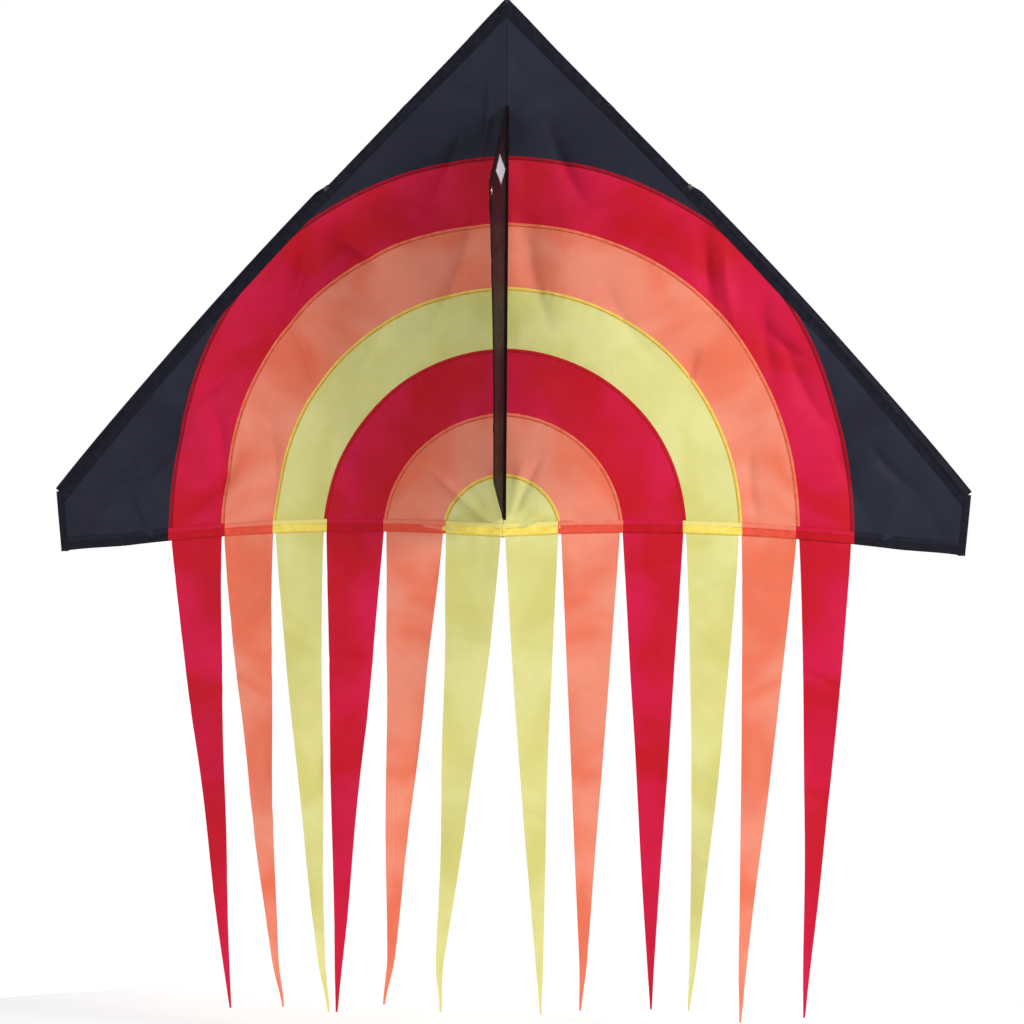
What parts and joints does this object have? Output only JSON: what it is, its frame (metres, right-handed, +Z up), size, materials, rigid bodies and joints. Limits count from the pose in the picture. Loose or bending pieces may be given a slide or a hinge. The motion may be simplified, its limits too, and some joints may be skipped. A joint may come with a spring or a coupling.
{
  "type": "delta kite",
  "caption": "Single-line delta kite: black triangular sail with concentric coloured bands, a hanging keel and tapering streamer tails on two wings that fold.",
  "frame": {"origin": "the tip of the nose, on the centre plane at the sail's front", "axes": "+Z up along the spine to the nose, +X across the span to the viewer's right when the keel faces the viewer, +Y to the back of the sail; the keel hangs towards -Y"},
  "size_m": [1.4218, 0.2818, 1.5751],
  "materials": {
    "black_cloth": "satin",
    "red_cloth": "satin",
    "orange_cloth": "satin",
    "yellow_cloth": "satin",
    "keel_cloth": "satin",
    "patch_cloth": "satin",
    "webbing": "matte",
    "end_cap": "satin",
    "fibreglass": "gloss",
    "moulded_fitting": "satin",
    "grommet_metal": "polished"
  },
  "bodies": {
    "spine": {"spine_pocket": "black_cloth", "spine_rod": "fibreglass", "spine_rod_caps": "end_cap", "nose_patch": "webbing", "pocket_flap": "webbing"},
    "wing_left": {"sail_black_left": "black_cloth", "leading_sleeve_left": "black_cloth", "trailing_hem_left": "black_cloth", "tip_hem_left": "black_cloth", "leading_rod_left": "fibreglass", "leading_rod_caps_left": "end_cap", "spreader_fitting_left": "moulded_fitting", "band_yellow_inner_left": "yellow_cloth", "band_orange_inner_left": "orange_cloth", "band_red_inner_left": "red_cloth", "band_yellow_outer_left": "yellow_cloth", "band_orange_outer_left": "orange_cloth", "band_red_outer_left": "red_cloth"},
    "wing_right": {"sail_black_right": "black_cloth", "leading_sleeve_right": "black_cloth", "trailing_hem_right": "black_cloth", "tip_hem_right": "black_cloth", "leading_rod_right": "fibreglass", "leading_rod_caps_right": "end_cap", "spreader_fitting_right": "moulded_fitting", "band_yellow_inner_right": "yellow_cloth", "band_orange_inner_right": "orange_cloth", "band_red_inner_right": "red_cloth", "band_yellow_outer_right": "yellow_cloth", "band_orange_outer_right": "orange_cloth", "band_red_outer_right": "red_cloth"},
    "spreader": {"spreader_rod": "fibreglass"},
    "keel": {"keel_panel": "keel_cloth", "keel_hem": "keel_cloth", "keel_patch": "patch_cloth", "grommet_front": "grommet_metal", "grommet_back": "grommet_metal"},
    "tail_left_1": {"tail_yellow_inner_left": "yellow_cloth"},
    "tail_left_2": {"tail_orange_inner_left": "orange_cloth"},
    "tail_left_3": {"tail_red_inner_left": "red_cloth"},
    "tail_left_4": {"tail_yellow_outer_left": "yellow_cloth"},
    "tail_left_5": {"tail_orange_outer_left": "orange_cloth"},
    "tail_left_6": {"tail_red_outer_left": "red_cloth"},
    "tail_right_1": {"tail_yellow_inner_right": "yellow_cloth"},
    "tail_right_2": {"tail_orange_inner_right": "orange_cloth"},
    "tail_right_3": {"tail_red_inner_right": "red_cloth"},
    "tail_right_4": {"tail_yellow_outer_right": "yellow_cloth"},
    "tail_right_5": {"tail_orange_outer_right": "orange_cloth"},
    "tail_right_6": {"tail_red_outer_right": "red_cloth"}
  },
  "joints": [
    {"name": "wing_left_fold", "type": "hinge", "parent": "spine", "child": "wing_left", "pos_m": [-0.0048, 0, -0.4], "axis": [0, 0, -1], "range_deg": [0, 76]},
    {"name": "wing_right_fold", "type": "hinge", "parent": "spine", "child": "wing_right", "pos_m": [0.0048, 0, -0.4], "axis": [0, 0, 1], "range_deg": [0, 76]},
    {"name": "spreader_release", "type": "slide", "parent": "spine", "child": "spreader", "axis": [0, 1, 0], "range_m": [0, 0.6]},
    {"name": "keel_swing", "type": "hinge", "parent": "spine", "child": "keel", "pos_m": [0, -0.002, -0.48], "axis": [0, 0, 1], "range_deg": [-85, 85]},
    {"name": "tail_left_1_swing", "type": "hinge", "parent": "wing_left", "child": "tail_left_1", "pos_m": [-0.0451, 0.00566, -0.82926], "axis": [-0.9886, 0.1389, 0.0579], "range_deg": [-30, 80]},
    {"name": "tail_left_2_swing", "type": "hinge", "parent": "wing_left", "child": "tail_left_2", "pos_m": [-0.13423, 0.01819, -0.82539], "axis": [-0.9898, 0.1391, 0.0295], "range_deg": [-80, 80]},
    {"name": "tail_left_3_swing", "type": "hinge", "parent": "wing_left", "child": "tail_left_3", "pos_m": [-0.22979, 0.03162, -0.82403], "axis": [-0.9903, 0.1392, -0.0009], "range_deg": [-80, 80]},
    {"name": "tail_left_4_swing", "type": "hinge", "parent": "wing_left", "child": "tail_left_4", "pos_m": [-0.3204, 0.04435, -0.82535], "axis": [-0.9898, 0.1391, -0.0298], "range_deg": [-80, 80]},
    {"name": "tail_left_5_swing", "type": "hinge", "parent": "wing_left", "child": "tail_left_5", "pos_m": [-0.40556, 0.05632, -0.8291], "axis": [-0.9887, 0.1389, -0.0569], "range_deg": [-80, 80]},
    {"name": "tail_left_6_swing", "type": "hinge", "parent": "wing_left", "child": "tail_left_6", "pos_m": [-0.49023, 0.06822, -0.83512], "axis": [-0.9868, 0.1387, -0.0839], "range_deg": [-80, 80]},
    {"name": "tail_right_1_swing", "type": "hinge", "parent": "wing_right", "child": "tail_right_1", "pos_m": [0.0451, 0.00566, -0.82926], "axis": [-0.9886, -0.1389, -0.0579], "range_deg": [-30, 80]},
    {"name": "tail_right_2_swing", "type": "hinge", "parent": "wing_right", "child": "tail_right_2", "pos_m": [0.13423, 0.01819, -0.82539], "axis": [-0.9898, -0.1391, -0.0295], "range_deg": [-80, 80]},
    {"name": "tail_right_3_swing", "type": "hinge", "parent": "wing_right", "child": "tail_right_3", "pos_m": [0.22979, 0.03162, -0.82403], "axis": [-0.9903, -0.1392, 0.0009], "range_deg": [-80, 80]},
    {"name": "tail_right_4_swing", "type": "hinge", "parent": "wing_right", "child": "tail_right_4", "pos_m": [0.3204, 0.04435, -0.82535], "axis": [-0.9898, -0.1391, 0.0298], "range_deg": [-80, 80]},
    {"name": "tail_right_5_swing", "type": "hinge", "parent": "wing_right", "child": "tail_right_5", "pos_m": [0.40556, 0.05632, -0.8291], "axis": [-0.9887, -0.1389, 0.0569], "range_deg": [-80, 80]},
    {"name": "tail_right_6_swing", "type": "hinge", "parent": "wing_right", "child": "tail_right_6", "pos_m": [0.49023, 0.06822, -0.83512], "axis": [-0.9868, -0.1387, 0.0839], "range_deg": [-80, 80]}
  ],
  "couplings": [
    {"joint": "wing_right_fold", "follows": "wing_left_fold", "ratio": 1},
    {"joint": "spreader_release", "follows": "wing_left_fold", "m_per_rad": 0.45}
  ]
}
